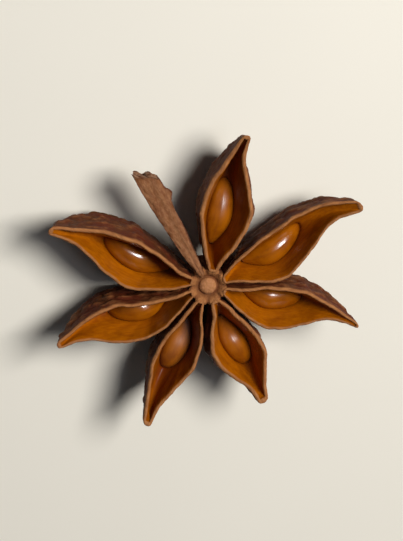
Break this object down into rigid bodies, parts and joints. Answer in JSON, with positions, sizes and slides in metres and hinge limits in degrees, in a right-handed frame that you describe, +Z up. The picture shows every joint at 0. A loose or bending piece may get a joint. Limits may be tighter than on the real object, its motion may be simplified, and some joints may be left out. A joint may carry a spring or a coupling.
{
  "type": "star anise pod",
  "caption": "Dried whole star anise: boat-shaped follicles split open round a short column, each with a loose glossy seed, and one thin closed follicle.",
  "frame": {"origin": "on the floor, under the middle of the pod's outline", "axes": "+Z up, out of the open side of the star; +X towards the right of the two longest opposite follicles"},
  "size_m": [0.0312, 0.0302, 0.0083],
  "materials": {
    "husk": "dry wrinkled brown skin outside, polished amber lining inside, tan split rims",
    "seed_coat": "smooth glossy amber brown"
  },
  "bodies": {
    "root": {"pod": "husk", "seed_1": "seed_coat", "seed_2": "seed_coat", "seed_3": "seed_coat", "seed_4": "seed_coat", "seed_5": "seed_coat", "seed_6": "seed_coat", "seed_7": "seed_coat"}
  },
  "joints": []
}
